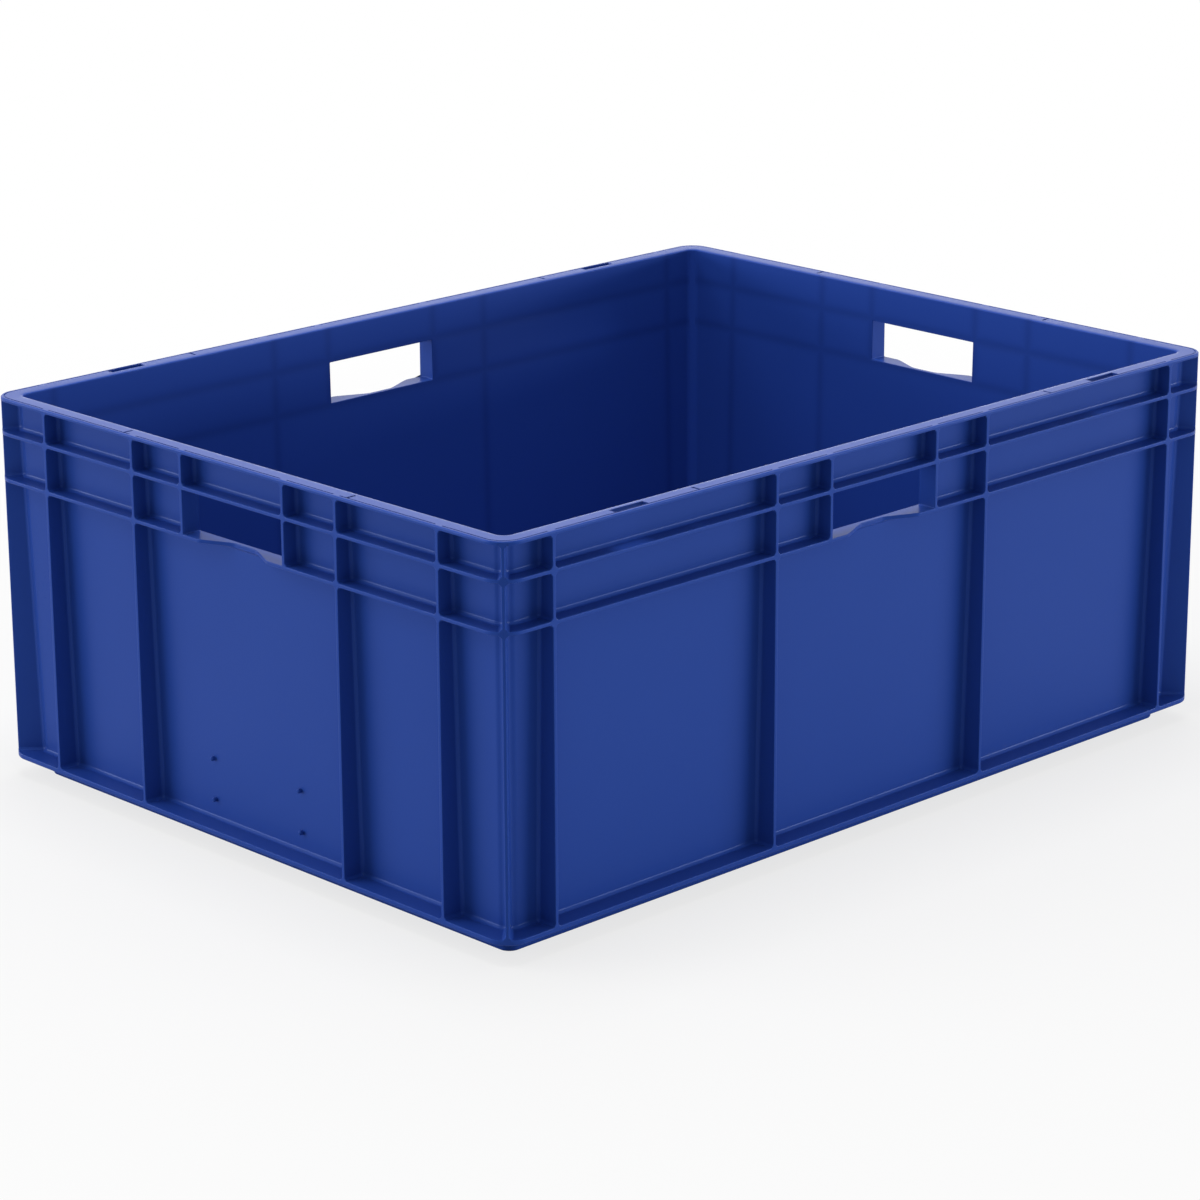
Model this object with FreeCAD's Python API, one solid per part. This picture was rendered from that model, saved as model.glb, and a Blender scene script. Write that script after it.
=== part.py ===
import FreeCAD, Part
import math
import os

# A stacking container for a Euro pallet: an open box moulded in one piece, with a frame of ribs and
# bands round thin drafted walls, a flat rim, a flange at the base and a foot that sits in the rim of
# the container below. Millimetres. X runs along the long walls, Y along the short walls and Z up.
# The origin is the middle of the footprint, on the surface that the foot stands on.

# The whole container
LENGTH = 800.0
WIDTH = 600.0
HEIGHT = 320.0
CORNER_RADIUS = 20.0

# Thin walls: their outer face lies inside the envelope, further in towards the floor
WALL = 2.8
WALL_SETBACK = 13.2
DRAFT_DEGREES = 1.0
WALL_CORNER_RADIUS = 11.0
FLOOR = 3.0
FLOOR_FILLET = 5.0

# Frame of ribs and bands that stands out to the envelope
RIB = 3.0
BAND = 3.0
ROOT_CHAMFER = 2.0
UPPER_BAND_DROP = 28.0
LOWER_BAND_DROP = 66.5
GRIP_SIDE_POCKET = 57.0
LONG_END_RIB_FROM_CORNER = 50.0
SHORT_END_RIB_FROM_CORNER = 69.0

# Rim
RIM = 3.0
RIM_OUTER_CHAMFER = 0.8
LEAD_IN = 3.0
LEAD_IN_DROP = 0.5
MOUTH_ROUND = 1.2
GROOVE_WIDTH = 1.2
GROOVE_DEPTH = 0.7
GROOVE_EDGE = 2.2
GROOVE_BRIDGE = 7.0
SLOT_LENGTH = 34.0
SLOT_WIDTH = 7.0
SLOT_EDGE = 3.6
SLIT_LENGTH = 8.0
SLIT_WIDTH = 2.2

# Places of the rim's slots and slits, as shares of the way from the inner rib to the end rib
SLOT_SHARE = 0.648
LONG_SLIT_SHARE = 0.348
SHORT_SLIT_SHARE = 0.1

# Hand grips, one in each wall between the two short ribs
GRIP_LENGTH = 117.0
SHELF_END = 14.5
SHELF_MIDDLE = 22.0
SHELF_STUB = 1.5
SWEEP_EASE = 6.0

# Base
FLANGE = 4.5
FLANGE_CHAMFER = 1.0
FOOT_HEIGHT = 15.5
FOOT_INSET = 23.0
FOOT_RADIUS = 10.0
FOOT_WALL = 3.0
FOOT_CHAMFER = 1.0
LATTICE_RIB = 2.4
LATTICE_CELL = 108.0

# Label pegs on the front short wall
PEG_DIAMETER = 3.6
PEG_LENGTH = 3.6
PEG_CHAMFER = 0.9
PEG_SPACING = 104.0
LOWER_PEG_HEIGHT = 36.0
UPPER_PEG_HEIGHT = 70.0

# How far a cutting shape runs past what it cuts, how far outside the band the shelf's sweep starts,
# and how close two places count as the same
CLEAR = 1.5
SWEEP_START = 0.3
SAME = 0.01

FLANGE_TOP = FOOT_HEIGHT + FLANGE
FLOOR_TOP = FOOT_HEIGHT + FLOOR
UPPER_BAND_TOP = HEIGHT - UPPER_BAND_DROP
LOWER_BAND_TOP = HEIGHT - LOWER_BAND_DROP
ROWS = {
    "top": (UPPER_BAND_TOP, HEIGHT - RIM),
    "middle": (LOWER_BAND_TOP, UPPER_BAND_TOP - BAND),
    "bottom": (FLANGE_TOP, LOWER_BAND_TOP - BAND),
}
GRIP_RIB_OFFSET = (GRIP_LENGTH + RIB) / 2
INNER_RIB_OFFSET = GRIP_RIB_OFFSET + RIB + GRIP_SIDE_POCKET
LONG_END_RIB = LENGTH / 2 - LONG_END_RIB_FROM_CORNER
SHORT_END_RIB = WIDTH / 2 - SHORT_END_RIB_FROM_CORNER
RIDGE_REACH = 2 * WALL_SETBACK + CORNER_RADIUS


def between_ribs(end_rib, share):
    """The place at this share of the way from the inner rib to the end rib."""
    return INNER_RIB_OFFSET + share * (end_rib - INNER_RIB_OFFSET)


# What each kind of wall has: how far it lies from the middle and, along each half of it, the places of
# its end rib, its slit and its slots
LONG_WALL = {
    "distance": WIDTH / 2,
    "end_rib": LONG_END_RIB,
    "slit": between_ribs(LONG_END_RIB, LONG_SLIT_SHARE),
    "slots": [between_ribs(LONG_END_RIB, SLOT_SHARE)],
}
SHORT_WALL = {
    "distance": LENGTH / 2,
    "end_rib": SHORT_END_RIB,
    "slit": between_ribs(SHORT_END_RIB, SHORT_SLIT_SHARE),
    "slots": [],
}

# The four walls, each with its turn about Z in degrees
WALLS = [
    {"turn": 0, **LONG_WALL},
    {"turn": 90, **SHORT_WALL},
    {"turn": 180, **LONG_WALL},
    {"turn": 270, **SHORT_WALL},
]


def vector(x, y, z):
    return FreeCAD.Vector(x, y, z)


def setback(z):
    """How far the outer face of a wall lies inside the envelope at height z."""
    return WALL_SETBACK + (HEIGHT - z) * math.tan(math.radians(DRAFT_DEGREES))


def block(x0, x1, y0, y1, z0, z1):
    return Part.makeBox(x1 - x0, y1 - y0, z1 - z0, vector(x0, y0, z0))


def upright_edges(solid):
    """The edges that run from the bottom of a block to its top."""
    return [e for e in solid.Edges if e.BoundBox.ZLength > solid.BoundBox.ZLength - SAME]


def edges_at(solid, z, within=SAME):
    """The level edges at height z."""
    return [e for e in solid.Edges if max(abs(e.BoundBox.ZMin - z), abs(e.BoundBox.ZMax - z)) < within]


def rounded_block(inset, z0, z1, radius):
    """The footprint moved in by inset, from z0 to z1, with rounded upright corners."""
    x, y = LENGTH / 2 - inset, WIDTH / 2 - inset
    solid = block(-x, x, -y, y, z0, z1)
    return solid.makeFillet(radius, upright_edges(solid))


def tapered_block(thickness, z0, z1, radius):
    """What the walls enclose, measured this thickness inside their outer faces."""
    low, high = setback(z0) + thickness, setback(z1) + thickness
    xl, yl, xh, yh = LENGTH / 2 - low, WIDTH / 2 - low, LENGTH / 2 - high, WIDTH / 2 - high
    solid = Part.makeWedge(-xl, z0, -yl, -yh, -xh, xl, z1, yl, yh, xh)
    solid.rotate(vector(0, 0, 0), vector(1, 0, 0), 90)
    return solid.makeFillet(radius, upright_edges(solid))


def on_wall(shape, wall):
    """Turn a shape made at y = 0, with the inside towards +Y, to its place on one wall."""
    placed = shape.copy()
    placed.translate(vector(0, -wall["distance"], 0))
    placed.rotate(vector(0, 0, 0), vector(0, 0, 1), wall["turn"])
    return placed


def make_shell():
    """Solid envelope with its outer edges broken, opened from above by the drafted cavity."""
    body = rounded_block(0, FOOT_HEIGHT, HEIGHT, CORNER_RADIUS)
    body = body.makeChamfer(RIM_OUTER_CHAMFER, edges_at(body, HEIGHT))
    body = body.makeChamfer(FLANGE_CHAMFER, edges_at(body, FOOT_HEIGHT))
    cavity = tapered_block(WALL, FLOOR_TOP, HEIGHT + CLEAR, WALL_CORNER_RADIUS - WALL)
    cavity = cavity.makeFillet(FLOOR_FILLET, edges_at(cavity, FLOOR_TOP))
    body = body.cut(cavity).cut(make_lead_in())
    mouth = edges_at(body, HEIGHT - LEAD_IN_DROP, LEAD_IN_DROP / 4)
    return body.makeFillet(MOUTH_ROUND, mouth)


def make_lead_in():
    """Shallow funnel in the rim's inner edge, which leads the foot of another container in."""
    inset, radius = setback(HEIGHT) + WALL, WALL_CORNER_RADIUS - WALL
    outlines = []
    # It runs on past both its edges: from one lead-in inside the cavity's edge to two outside it
    for steps in (-1, 2):
        z = HEIGHT + (steps - 1) * LEAD_IN_DROP
        flat = rounded_block(inset - steps * LEAD_IN, z, z + 1, radius + steps * LEAD_IN)
        outlines.append(Part.Wire(Part.sortEdges(edges_at(flat, z))[0]))
    return Part.makeLoft(outlines, True, True)


def make_pocket(start, end, row):
    """Space between two ribs, a band above and one below, with sloped roots at the wall."""
    low, high = ROWS[row]
    profile = Part.makePolygon([
        vector(start, -CLEAR, low),
        vector(start, -CLEAR, high),
        vector(start, setback(high), high),
        vector(start, setback(low), low),
        vector(start, -CLEAR, low),
    ])
    solid = Part.Face(profile).extrude(vector(end - start, 0, 0))
    inner = [e for e in solid.Edges if e.BoundBox.YMax > 0]
    return solid.makeChamfer(ROOT_CHAMFER, inner)


def make_straight_pockets(wall):
    """All pockets of one wall but those at its corners and the hand grip."""
    end_rib = wall["end_rib"]
    half = RIB / 2
    pockets = []
    for row in ROWS:
        pockets.append(make_pocket(INNER_RIB_OFFSET + half, end_rib - half, row))
        pockets.append(make_pocket(-end_rib + half, -INNER_RIB_OFFSET - half, row))
    for row in ("top", "middle"):
        pockets.append(make_pocket(GRIP_RIB_OFFSET + half, INNER_RIB_OFFSET - half, row))
        pockets.append(make_pocket(-INNER_RIB_OFFSET + half, -GRIP_RIB_OFFSET - half, row))
    pockets.append(make_pocket(-GRIP_LENGTH / 2, GRIP_LENGTH / 2, "top"))
    pockets.append(make_pocket(-INNER_RIB_OFFSET + half, INNER_RIB_OFFSET - half, "bottom"))
    return [on_wall(p, wall) for p in pockets]


def make_corner_pockets():
    """The pockets on both sides of the thin ridge that stands on each corner."""
    core = tapered_block(0, 0, HEIGHT, WALL_CORNER_RADIUS)
    x0, y0 = -LENGTH / 2 - CLEAR, -WIDTH / 2 - CLEAR
    x1, y1 = -LONG_END_RIB - RIB / 2, -SHORT_END_RIB - RIB / 2
    ridge = block(-RIDGE_REACH, RIDGE_REACH, -RIB / 2, RIB / 2, 0, HEIGHT)
    ridge.rotate(vector(0, 0, 0), vector(0, 0, 1), 45)
    ridge.translate(vector(-LENGTH / 2, -WIDTH / 2, 0))
    pockets = []
    for low, high in ROWS.values():
        corner = block(x0, x1, y0, y1, low, high).cut(core).cut(ridge)
        for solid in corner.Solids:
            inner = [e for e in solid.Edges if e.BoundBox.XMax > x0 + SAME and e.BoundBox.YMax > y0 + SAME]
            solid = solid.makeChamfer(ROOT_CHAMFER, inner)
            across = solid.mirror(vector(0, 0, 0), vector(1, 0, 0))
            pockets += [solid, across]
            pockets += [s.mirror(vector(0, 0, 0), vector(0, 1, 0)) for s in (solid, across)]
    return pockets


def make_grip(wall):
    """Opening of a hand grip, between its two ribs and the two bands."""
    low, high = ROWS["middle"]
    depth = setback(low) + WALL + CLEAR
    return on_wall(block(-GRIP_LENGTH / 2, GRIP_LENGTH / 2, -CLEAR, depth, low, high), wall)


def sweep(start, end):
    """Smooth curve from start to end that runs along the wall at both ends."""
    ease = vector(SWEEP_EASE, 0, 0)
    curve = Part.BezierCurve()
    curve.setPoles([start, start + ease, end - ease, end])
    return curve.toShape()


def make_shelf_cut(wall):
    """Piece taken out of the lower band under a grip, so that the shelf sweeps back to the wall."""
    outer = GRIP_LENGTH / 2 - SHELF_END
    inner = SHELF_MIDDLE / 2
    z = LOWER_BAND_TOP - BAND - CLEAR
    front, back = -SWEEP_START, setback(LOWER_BAND_TOP) - SHELF_STUB
    points = [
        vector(-outer, front, z),
        vector(-inner, back, z),
        vector(inner, back, z),
        vector(outer, front, z),
    ]
    edges = [
        sweep(points[0], points[1]),
        Part.LineSegment(points[1], points[2]).toShape(),
        sweep(points[2], points[3]),
        Part.LineSegment(points[3], points[0]).toShape(),
    ]
    face = Part.Face(Part.Wire(edges))
    return on_wall(face.extrude(vector(0, 0, BAND + 2 * CLEAR)), wall)


def make_rim_groove():
    """Fine groove along the outer edge of the rim, bridged over every rib."""
    bottom, top = HEIGHT - GROOVE_DEPTH, HEIGHT + CLEAR
    outer = rounded_block(GROOVE_EDGE, bottom, top, CORNER_RADIUS - GROOVE_EDGE)
    inset = GROOVE_EDGE + GROOVE_WIDTH
    ring = outer.cut(rounded_block(inset, bottom, top, CORNER_RADIUS - inset))
    for wall in WALLS:
        for offset in (GRIP_RIB_OFFSET, INNER_RIB_OFFSET, wall["end_rib"]):
            for centre in (-offset, offset):
                left, right = centre - GROOVE_BRIDGE / 2, centre + GROOVE_BRIDGE / 2
                ring = ring.cut(on_wall(block(left, right, 0, inset + CLEAR, bottom, top), wall))
    return ring


def make_rim_openings(wall):
    """Narrow slits across the rim, and on the long walls the slots near its ends."""
    cuts = []
    low, high = HEIGHT - RIM - CLEAR, HEIGHT + CLEAR
    slit_start = GROOVE_EDGE + GROOVE_WIDTH
    for centre in (-wall["slit"], wall["slit"]):
        left, right = centre - SLIT_WIDTH / 2, centre + SLIT_WIDTH / 2
        cuts.append(block(left, right, slit_start, slit_start + SLIT_LENGTH, low, high))
    for slot in wall["slots"]:
        for centre in (-slot, slot):
            left, right = centre - SLOT_LENGTH / 2, centre + SLOT_LENGTH / 2
            cuts.append(block(left, right, SLOT_EDGE, SLOT_EDGE + SLOT_WIDTH, low, high))
    return [on_wall(c, wall) for c in cuts]


def make_foot():
    """Low rounded ring under the floor, with a lattice of ribs inside it."""
    top = FOOT_HEIGHT + FLOOR / 2
    foot = rounded_block(FOOT_INSET, 0, top, FOOT_RADIUS)
    foot = foot.makeChamfer(FOOT_CHAMFER, edges_at(foot, 0))
    inside = FOOT_INSET + FOOT_WALL
    hollow = rounded_block(inside, -CLEAR, FOOT_HEIGHT, FOOT_RADIUS - FOOT_WALL)
    x, y = LENGTH / 2 - inside, WIDTH / 2 - inside
    columns, rows = round(2 * x / LATTICE_CELL), round(2 * y / LATTICE_CELL)
    step_x, step_y = (2 * x + LATTICE_RIB) / columns, (2 * y + LATTICE_RIB) / rows
    low, high = -2 * CLEAR, FOOT_HEIGHT + CLEAR
    ribs = []
    for i in range(1, columns):
        left = -x + i * step_x - LATTICE_RIB
        ribs.append(block(left, left + LATTICE_RIB, -y - CLEAR, y + CLEAR, low, high))
    for j in range(1, rows):
        front = -y + j * step_y - LATTICE_RIB
        ribs.append(block(-x - CLEAR, x + CLEAR, front, front + LATTICE_RIB, low, high))
    return foot.cut(hollow.cut(ribs))


def make_pegs():
    """Four small pegs with sloped ends, low on the front short wall."""
    pegs = []
    for y in (-PEG_SPACING / 2, PEG_SPACING / 2):
        for z in (LOWER_PEG_HEIGHT, UPPER_PEG_HEIGHT):
            root = -LENGTH / 2 + setback(z) + WALL / 2
            length = PEG_LENGTH + WALL / 2
            peg = Part.makeCylinder(PEG_DIAMETER / 2, length, vector(root, y, z), vector(-1, 0, 0))
            tip = [e for e in peg.Edges if e.BoundBox.XMax < root - length + SAME]
            pegs.append(peg.makeChamfer(PEG_CHAMFER, tip))
    return pegs


def make_container():
    """The shell with all pockets and openings cut into it, on its foot and with its pegs."""
    body = make_shell()
    cuts = make_corner_pockets()
    for wall in WALLS:
        cuts += make_straight_pockets(wall)
        cuts += [make_grip(wall), make_shelf_cut(wall)]
        cuts += make_rim_openings(wall)
    cuts.append(make_rim_groove())
    body = body.cut(cuts)
    return body.fuse([make_foot()] + make_pegs()).removeSplitter()


container = make_container()
os.makedirs("parts", exist_ok=True)
container.Solids[0].exportStep("parts/container.step")
print("solids", len(container.Solids), "valid", container.isValid(), "volume", round(container.Volume))
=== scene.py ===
import bmesh
import bpy
import math
import numpy as np
from mathutils import Matrix, Vector


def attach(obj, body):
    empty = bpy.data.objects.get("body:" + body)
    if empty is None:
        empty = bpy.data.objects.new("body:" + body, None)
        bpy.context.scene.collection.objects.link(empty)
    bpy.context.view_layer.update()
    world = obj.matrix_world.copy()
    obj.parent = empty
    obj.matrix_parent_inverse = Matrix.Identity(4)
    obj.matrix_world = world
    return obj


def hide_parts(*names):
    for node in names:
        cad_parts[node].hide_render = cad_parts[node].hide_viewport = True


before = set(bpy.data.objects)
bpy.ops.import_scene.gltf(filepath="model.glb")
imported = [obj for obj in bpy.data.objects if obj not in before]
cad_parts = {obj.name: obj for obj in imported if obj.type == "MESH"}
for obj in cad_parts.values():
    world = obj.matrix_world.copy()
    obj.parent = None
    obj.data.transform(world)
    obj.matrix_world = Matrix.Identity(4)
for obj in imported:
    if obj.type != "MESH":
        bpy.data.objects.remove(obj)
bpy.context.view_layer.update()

# The container is one injection moulding in blue polypropylene: thin drafted walls, ribs, bands, rim,
# flange and foot come out of the mould together. The mould's edges are broken and its inner corners
# are rounded, so every edge and root carries a small radius that catches the light.
HALF_LENGTH, HALF_WIDTH, HEIGHT = 0.400, 0.300, 0.320
RIM_ROUND, EDGE_ROUND, ROOT_ROUND = 0.00045, 0.0006, 0.0009
FLAT_WITHIN, NEARLY_FLAT, ROUNDED_FROM = (math.radians(angle) for angle in (0.3, 6, 32))
SAME_PLACE = 1e-6
# A ridge stands on each corner's diagonal: how far off that, how deep and how short its edges can be
RIDGE_HALF, RIDGE_DEPTH, RIDGE_LEAST = 0.004, 0.008, 0.005
# The rim's part of the height, and the strip of its top that holds its groove, slits and slots
RIM_FROM, RIM_TOP_FROM = 0.3160, 0.3165
STRIP_FROM, STRIP_TO = 0.0012, 0.0135
# The label pegs on the front short wall: half their spacing, their reach and the heights they lie between
PEG_SPACING_HALF, PEG_REACH, PEG_ROOT = 0.052, 0.004, -0.378
PEGS_FROM, PEGS_TO = 0.030, 0.076


def upright_on_ridge(edge):
    """Whether an edge runs up the thin ridge on a corner of the container."""
    start, end = (v.co for v in edge.verts)
    middle = (start + end) / 2
    from_short_side, from_long_side = HALF_LENGTH - abs(middle.x), HALF_WIDTH - abs(middle.y)
    on_corner = abs(from_short_side - from_long_side) < RIDGE_HALF
    near_outside = min(from_short_side, from_long_side) < RIDGE_DEPTH
    return on_corner and near_outside and abs(start.z - end.z) > RIDGE_LEAST


def radius_of(edge):
    """The radius at an edge: least along the rim, more on ribs and bands, and most in their roots and on
    the thin ridge at each corner. Slots, slits and groove in the rim and label pegs have none."""
    start, end = (v.co for v in edge.verts)
    middle = (start + end) / 2
    from_outside = min(HALF_LENGTH - abs(middle.x), HALF_WIDTH - abs(middle.y))
    on_strip = min(start.z, end.z) > RIM_TOP_FROM and STRIP_FROM < from_outside < STRIP_TO
    beside_peg = abs(abs(middle.y) - PEG_SPACING_HALF) < PEG_REACH and middle.x < PEG_ROOT
    if on_strip or beside_peg and PEGS_FROM < middle.z < PEGS_TO:
        return 0
    if not edge.is_convex or upright_on_ridge(edge):
        return ROOT_ROUND
    return RIM_ROUND if middle.z > RIM_FROM else EDGE_ROUND


def ridge_fronts(mesh):
    """The nearly flat edges in the fronts of the corner ridges, and the faces beside them."""
    mesh.faces.index_update()
    edges = [edge for edge in mesh.edges if upright_on_ridge(edge) and edge.calc_face_angle() < NEARLY_FLAT]
    beside = {face.index for edge in edges for face in edge.link_faces}
    return edges, [face for face in mesh.faces if face.index in beside]


def merged_copy(node, name):
    """A copy of a CAD node's mesh with its loose triangles joined at their corners, and the triangles of
    each flat face joined where their planes agree within FLAT_WITHIN. The ridges' fronts are cut into
    even triangles again, because a rounded edge needs room beside it."""
    piece = bpy.data.objects.new(name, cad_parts[node].data.copy())
    bpy.context.scene.collection.objects.link(piece)
    mesh = bmesh.new()
    mesh.from_mesh(piece.data)
    bmesh.ops.remove_doubles(mesh, verts=mesh.verts, dist=SAME_PLACE)
    bmesh.ops.dissolve_limit(mesh, angle_limit=FLAT_WITHIN, verts=mesh.verts, edges=mesh.edges)
    bmesh.ops.triangulate(mesh, faces=ridge_fronts(mesh)[1], ngon_method="BEAUTY")
    inner_edges, fronts = ridge_fronts(mesh)
    bmesh.ops.beautify_fill(mesh, faces=fronts, edges=inner_edges, method="AREA")
    share = mesh.edges.layers.float.new("bevel_weight_edge")
    for edge in mesh.edges:
        if edge.calc_face_angle() > ROUNDED_FROM:
            edge[share] = radius_of(edge) / ROOT_ROUND
            edge.smooth = edge[share] > 0
    for face in mesh.faces:
        face.smooth = True
    mesh.to_mesh(piece.data)
    mesh.free()
    piece.data.materials.clear()
    return piece


moulding = merged_copy("container", "moulded_container")
rounding = moulding.modifiers.new("broken_edges", "BEVEL")
rounding.width = ROOT_ROUND
rounding.segments = 2
rounding.limit_method = "WEIGHT"
rounding.use_clamp_overlap = False
rounding.miter_outer = "MITER_SHARP"
flattening = moulding.modifiers.new("flat_faces", "WEIGHTED_NORMAL")
flattening.mode = "FACE_AREA"
flattening.weight = 50
flattening.keep_sharp = True


class Wire:
    """One output of a shader node. Arithmetic on wires adds Math nodes to their material."""

    def __init__(self, tree, socket):
        self.tree = tree
        self.socket = socket

    def node(self, kind, settings, inputs, output=0):
        """Adds a node of this kind, with its settings first and then its inputs by name or number."""
        new = self.tree.nodes.new(kind)
        for key, value in settings.items():
            setattr(new, key, value)
        for key, value in inputs.items():
            if isinstance(value, Wire):
                self.tree.links.new(value.socket, new.inputs[key])
            else:
                new.inputs[key].default_value = value
        return Wire(self.tree, new.outputs[output]) if new.outputs else None

    def output(self, key):
        """Another output of the same node."""
        return Wire(self.tree, self.socket.node.outputs[key])

    def maths(self, operation, *values):
        return self.node("ShaderNodeMath", {"operation": operation}, dict(enumerate(values)))

    def __add__(self, other):
        return self.maths("ADD", self, other)

    def __sub__(self, other):
        return self.maths("SUBTRACT", self, other)

    def __rsub__(self, other):
        return self.maths("SUBTRACT", other, self)

    def __mul__(self, other):
        return self.maths("MULTIPLY", self, other)

    def __lt__(self, other):
        return self.maths("LESS_THAN", self, other)

    def __gt__(self, other):
        return self.maths("GREATER_THAN", self, other)

    def __abs__(self):
        return self.maths("ABSOLUTE", self)

    __radd__ = __add__
    __rmul__ = __mul__


def nearest(*distances):
    """The smallest of several distances."""
    least = distances[0]
    for distance in distances[1:]:
        least = least.maths("MINIMUM", least, distance)
    return least


def new_material(name, colour):
    """A Principled material, its shader node and a wire with which its other nodes are made."""
    material = bpy.data.materials.new(name)
    material.use_nodes = True
    material.diffuse_color = (*colour, 1)
    shader = material.node_tree.nodes["Principled BSDF"]
    return material, shader, Wire(material.node_tree, None)


# The plastic: a pigmented blue with a satin, finely spark-eroded mould surface. Its gloss wanders a
# little where the melt flowed, and inside it draws in slightly, as a shallow bump, where a rib or a
# band stands behind the wall and where the lattice stands under the floor. Along these sink lines
# the colour is also darkened, as painted shade.
BLUE = (0.017, 0.052, 0.275)
DEEPER_BLUE = (0.015, 0.048, 0.262)
# Painted shade: the colour is multiplied by this tint along the sink lines inside the walls and floor
SINK_SHADE_TINT = (0.45, 0.45, 0.5)
GLOSS_TINT = (0.35, 0.55, 1.0)
plastic, surface, wire = new_material("moulded_blue_plastic", BLUE)
place = wire.node("ShaderNodeTexCoord", {}, {}, "Object")
x = wire.node("ShaderNodeSeparateXYZ", {}, {0: place})
y, z = x.output("Y"), x.output("Z")
along, across = abs(x), abs(y)

# The walls' inner faces lean outwards, and each is found by how far it lies inside the envelope
DRAFT = math.tan(math.radians(1))
WALL_AT_RIM, ON_WALL = 0.0160, 0.0009
FLOOR_TOP, ON_FLOOR, FLOOR_EDGE = 0.0185, 0.0006, 0.004
inner = WALL_AT_RIM + HEIGHT * DRAFT - z * DRAFT
from_short_side, from_long_side = HALF_LENGTH - along, HALF_WIDTH - across
on_long_wall = (abs(from_long_side - inner) < ON_WALL) * (from_short_side > inner)
on_short_wall = (abs(from_short_side - inner) < ON_WALL) * (from_long_side > inner)
inside_edge = inner + FLOOR_EDGE
on_floor = (abs(z - FLOOR_TOP) < ON_FLOOR) * (from_long_side > inside_edge) * (from_short_side > inside_edge)

# Middles of the bands, of the ribs along each half of a wall, and of the lattice's ribs
UPPER_BAND, LOWER_BAND = 0.2905, 0.2520
GRIP_RIB, INNER_RIB, LONG_END_RIB, SHORT_END_RIB = 0.060, 0.120, 0.350, 0.231
LATTICE_X, LATTICE_Y = 0.3752, 0.2752
HALF_CELL_X, HALF_CELL_Y = 0.0536, 0.05504
bands = nearest(abs(z - UPPER_BAND), abs(z - LOWER_BAND))
below_bands = z < LOWER_BAND


def ribs(distance, end_rib):
    """How far the nearest rib or band lies. The ribs beside a grip end at the lower band."""
    grip_rib = abs(distance - GRIP_RIB) + below_bands
    return nearest(bands, abs(distance - INNER_RIB), abs(distance - end_rib), grip_rib)


lattice_across = wire.maths("PINGPONG", x + LATTICE_X, HALF_CELL_X)
lattice_along = wire.maths("PINGPONG", y + LATTICE_Y, HALF_CELL_Y)
SINK_WIDTH = 0.0045


def drawn_in(distance):
    """A soft valley along a line: 1 at the line, falling as exp(-(d / width) squared)."""
    share = distance * (1 / SINK_WIDTH)
    return wire.maths("EXPONENT", share * share * -1)


def noise(scale, detail, roughness):
    inputs = {"Vector": place, "Scale": scale, "Detail": detail, "Roughness": roughness}
    return wire.node("ShaderNodeTexNoise", {}, inputs)


def bump(strength, depth, height, under):
    inputs = {"Strength": strength, "Distance": depth, "Height": height, **under}
    return wire.node("ShaderNodeBump", {}, inputs)


# How strongly the painted shade darkens the colour along the sink lines
SINK_SHADE_STRENGTH = 0.30
ROUGHNESS, ROUGHNESS_SPREAD = 0.24, 0.05
# Where the sink lines lie inside the walls and on the floor: they carry a shallow bump and painted shade
sink_and_shade_on_long_walls = drawn_in(ribs(along, LONG_END_RIB)) * on_long_wall
sink_and_shade_on_short_walls = drawn_in(ribs(across, SHORT_END_RIB)) * on_short_wall
sink_and_shade_on_floor = drawn_in(nearest(lattice_across, lattice_along)) * on_floor
sink_and_shade = sink_and_shade_on_long_walls + sink_and_shade_on_short_walls + sink_and_shade_on_floor
flow = noise(5.0, 3.0, 0.5)
grain = noise(1100.0, 2.0, 0.6)
COLOUR_A, COLOUR_B, MIXED_COLOUR = 6, 7, 2
shade = wire.node("ShaderNodeMix", {"data_type": "RGBA"},
                  {0: flow, COLOUR_A: (*DEEPER_BLUE, 1), COLOUR_B: (*BLUE, 1)}, MIXED_COLOUR)
# Painted shade: the colour is darkened along the sink lines
colour_with_painted_shade = wire.node("ShaderNodeMix", {"data_type": "RGBA", "blend_type": "MULTIPLY"},
                   {0: sink_and_shade * SINK_SHADE_STRENGTH, COLOUR_A: shade, COLOUR_B: (*SINK_SHADE_TINT, 1)}, MIXED_COLOUR)
roughness = ROUGHNESS + flow * ROUGHNESS_SPREAD + grain * ROUGHNESS_SPREAD
sunk = bump(0.5, 0.0002, 1 - sink_and_shade, {})
bumps = bump(0.10, 0.0001, grain, {"Normal": sunk})
for key, value in (("Base Color", colour_with_painted_shade), ("Roughness", roughness), ("Normal", bumps)):
    wire.tree.links.new(value.socket, surface.inputs[key])
surface.inputs["IOR"].default_value = 1.49
surface.inputs["Specular IOR Level"].default_value = 0.14
surface.inputs["Specular Tint"].default_value = (*GLOSS_TINT, 1)
moulding.data.materials.append(plastic)
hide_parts("container")
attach(moulding, "root")

# The stage is a plain pale floor in a white room. It keeps a soft shadow of the container, and it
# looks white to the camera because part of its own colour is plain white that needs no lamp.
FLOOR_HALF = 14.0
WHITE = (1, 1, 1, 1)
PALE = (0.60, 0.60, 0.60, 1)
WHITE_SHARE_UNDER, WHITE_SHARE_OPEN = 0.75, 1.0
UNDER_TO, OPEN_FROM = 0.35, 1.60
corners = np.array([(-1, -1, 0), (1, -1, 0), (1, 1, 0), (-1, 1, 0)], float) * FLOOR_HALF
ground = bpy.data.meshes.new("floor")
ground.from_pydata(corners.tolist(), [], [(0, 1, 2, 3)])
floor = bpy.data.objects.new("floor", ground)
bpy.context.scene.collection.objects.link(floor)
pale = bpy.data.materials.new("pale_floor")
pale.use_nodes = True
pale.node_tree.nodes.clear()
floor_wire = Wire(pale.node_tree, None)
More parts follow.
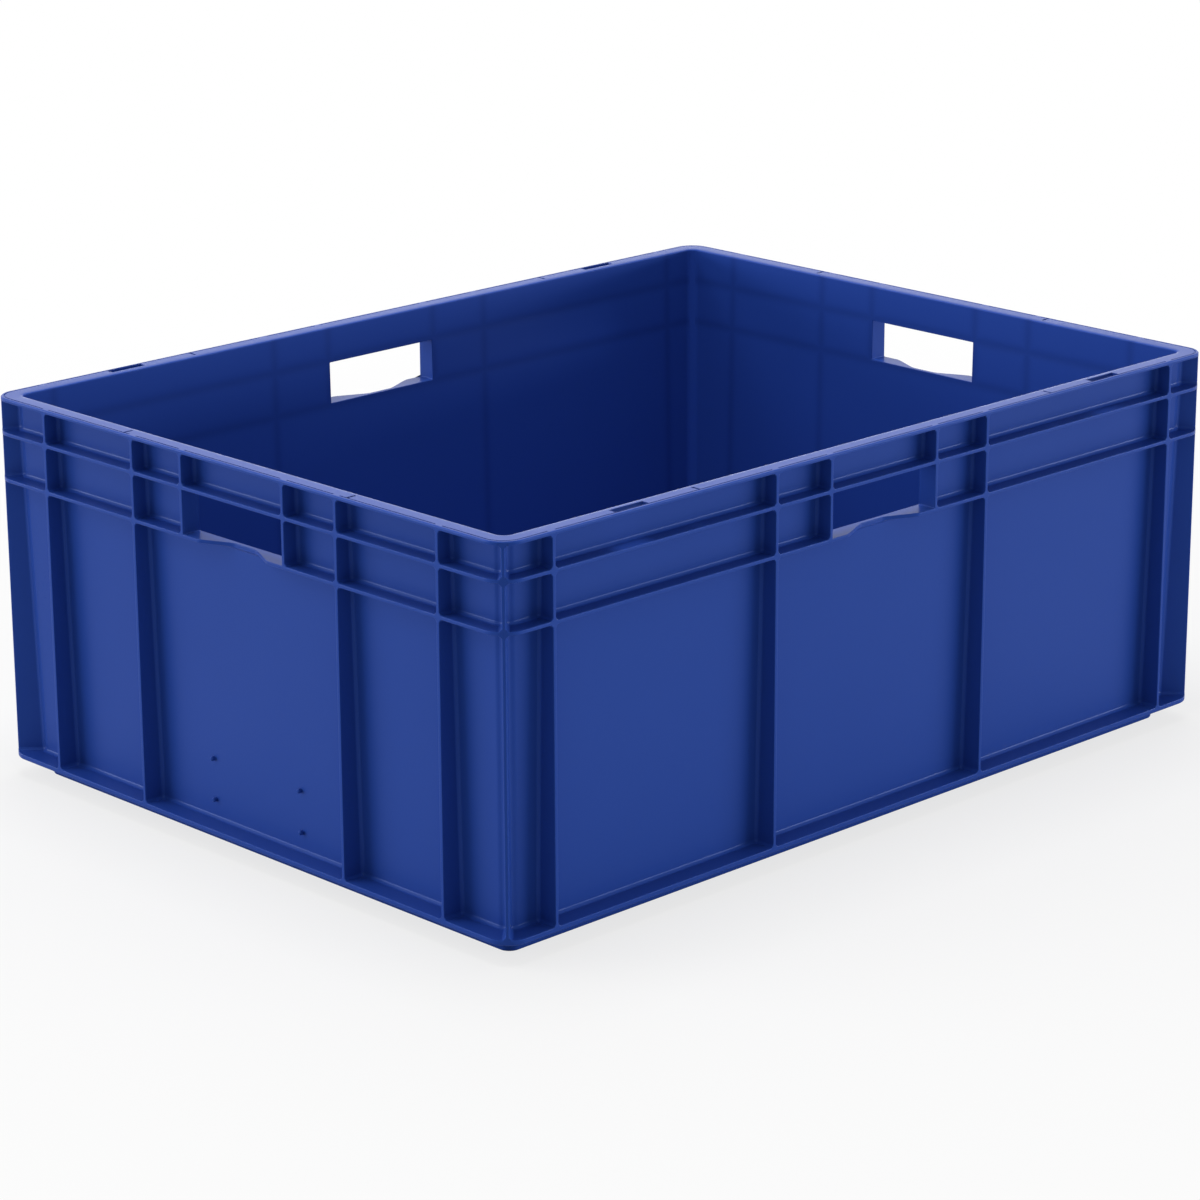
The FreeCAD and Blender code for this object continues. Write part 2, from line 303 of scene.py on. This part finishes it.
matt = floor_wire.node("ShaderNodeBsdfDiffuse", {}, {"Color": PALE})
white = floor_wire.node("ShaderNodeEmission", {}, {"Color": WHITE, "Strength": 1.0})
seen = floor_wire.node("ShaderNodeLightPath", {}, {}, "Is Camera Ray")
spot = floor_wire.node("ShaderNodeTexCoord", {}, {}, "Object")
from_middle = floor_wire.node("ShaderNodeVectorMath", {"operation": "LENGTH"}, {0: spot}, "Value")
white_share = floor_wire.node("ShaderNodeMapRange", {"interpolation_type": "SMOOTHSTEP"}, {
    "Value": from_middle, "From Min": UNDER_TO, "From Max": OPEN_FROM,
    "To Min": WHITE_SHARE_UNDER, "To Max": WHITE_SHARE_OPEN})
blend = floor_wire.node("ShaderNodeMixShader", {}, {0: seen * white_share, 1: matt, 2: white})
floor_wire.node("ShaderNodeOutputMaterial", {}, {"Surface": blend})
ground.materials.append(pale)

# White room: pure white where the camera or a reflection looks at it, and a quieter even light on
# everything else.
AMBIENT = 0.45
room = bpy.data.worlds.new("white_room")
bpy.context.scene.world = room
room.use_nodes = True
room_wire = Wire(room.node_tree, None)
backdrop = room.node_tree.nodes["Background"]
backdrop.inputs["Color"].default_value = WHITE
camera_ray = room_wire.node("ShaderNodeLightPath", {}, {}, "Is Camera Ray")
mirrored, through = camera_ray.output("Is Glossy Ray"), camera_ray.output("Is Transmission Ray")
looked_at = room_wire.maths("MAXIMUM", camera_ray, room_wire.maths("MAXIMUM", mirrored, through))
room.node_tree.links.new((looked_at * (1 - AMBIENT) + AMBIENT).socket, backdrop.inputs["Strength"])

# The lamps are soft panels that the camera doesn't see: a low one facing each near wall, a small one
# over the opening for the inside, and weaker ones high and behind for the rim.
MIDDLE = Vector((0, 0, 0.160))


def softbox(name, direction, distance, height, size, watts):
    """A large soft panel lamp in that level direction from the container, facing the middle of it."""
    lamp = bpy.data.lights.new(name, "AREA")
    lamp.shape = "RECTANGLE"
    lamp.size, lamp.size_y = size
    lamp.energy = watts
    holder = bpy.data.objects.new(name, lamp)
    bpy.context.scene.collection.objects.link(holder)
    holder.location = (direction[0] * distance, direction[1] * distance, height)
    holder.rotation_euler = (holder.location - MIDDLE).to_track_quat("Z", "Y").to_euler()
    holder.visible_camera = False


softbox("left_softbox", (-0.71, 0.70), 6.0, 0.80, (4.5, 1.5), 208)
softbox("high_left_softbox", (-0.71, 0.70), 4.5, 4.00, (3.0, 2.0), 55)
softbox("right_softbox", (0.71, -0.70), 6.0, 0.45, (4.5, 0.8), 240)
softbox("overhead_softbox", (-1.0, -0.1), 0.24, 2.20, (0.9, 0.9), 29)
softbox("back_softbox", (0.70, 0.71), 1.7, 3.00, (2.6, 2.6), 42)
softbox("low_back_strip", (0.70, 0.71), 6.0, 0.60, (5.0, 0.6), 32)

# The camera stands where the photograph's straight edges put it, for a square picture with no shift:
# azimuth, height and roll in degrees, where the container's middle lies in front of the lens, and the
# focal length in pixels of a picture that is PICTURE pixels wide.
AZIMUTH, ELEVATION, ROLL = (math.radians(angle) for angle in (-44.196, 17.281, -0.269))
RIGHTWARDS, UPWARDS, AWAY = 0.00956, 0.03251, 3.31640
FOCAL, PICTURE, SENSOR = 4015.1, 1200, 36
level = Vector((math.cos(AZIMUTH), math.sin(AZIMUTH), 0))
behind = Vector((math.sin(AZIMUTH), -math.cos(AZIMUTH), 0))
back = behind * math.cos(ELEVATION) + Vector((0, 0, math.sin(ELEVATION)))
rise = back.cross(level)
right = level * math.cos(ROLL) + rise * math.sin(ROLL)
up = rise * math.cos(ROLL) - level * math.sin(ROLL)
lens = bpy.data.cameras.new("camera")
lens.sensor_fit = "HORIZONTAL"
lens.sensor_width = SENSOR
lens.lens = FOCAL / PICTURE * SENSOR
lens.clip_end = 100
camera = bpy.data.objects.new("camera", lens)
bpy.context.scene.collection.objects.link(camera)
turn = Matrix((right, up, back)).transposed().to_4x4()
stand = MIDDLE - right * RIGHTWARDS - up * UPWARDS + back * AWAY
camera.matrix_world = Matrix.Translation(stand) @ turn
bpy.context.scene.camera = camera
bpy.context.scene.view_settings.view_transform = "Standard"
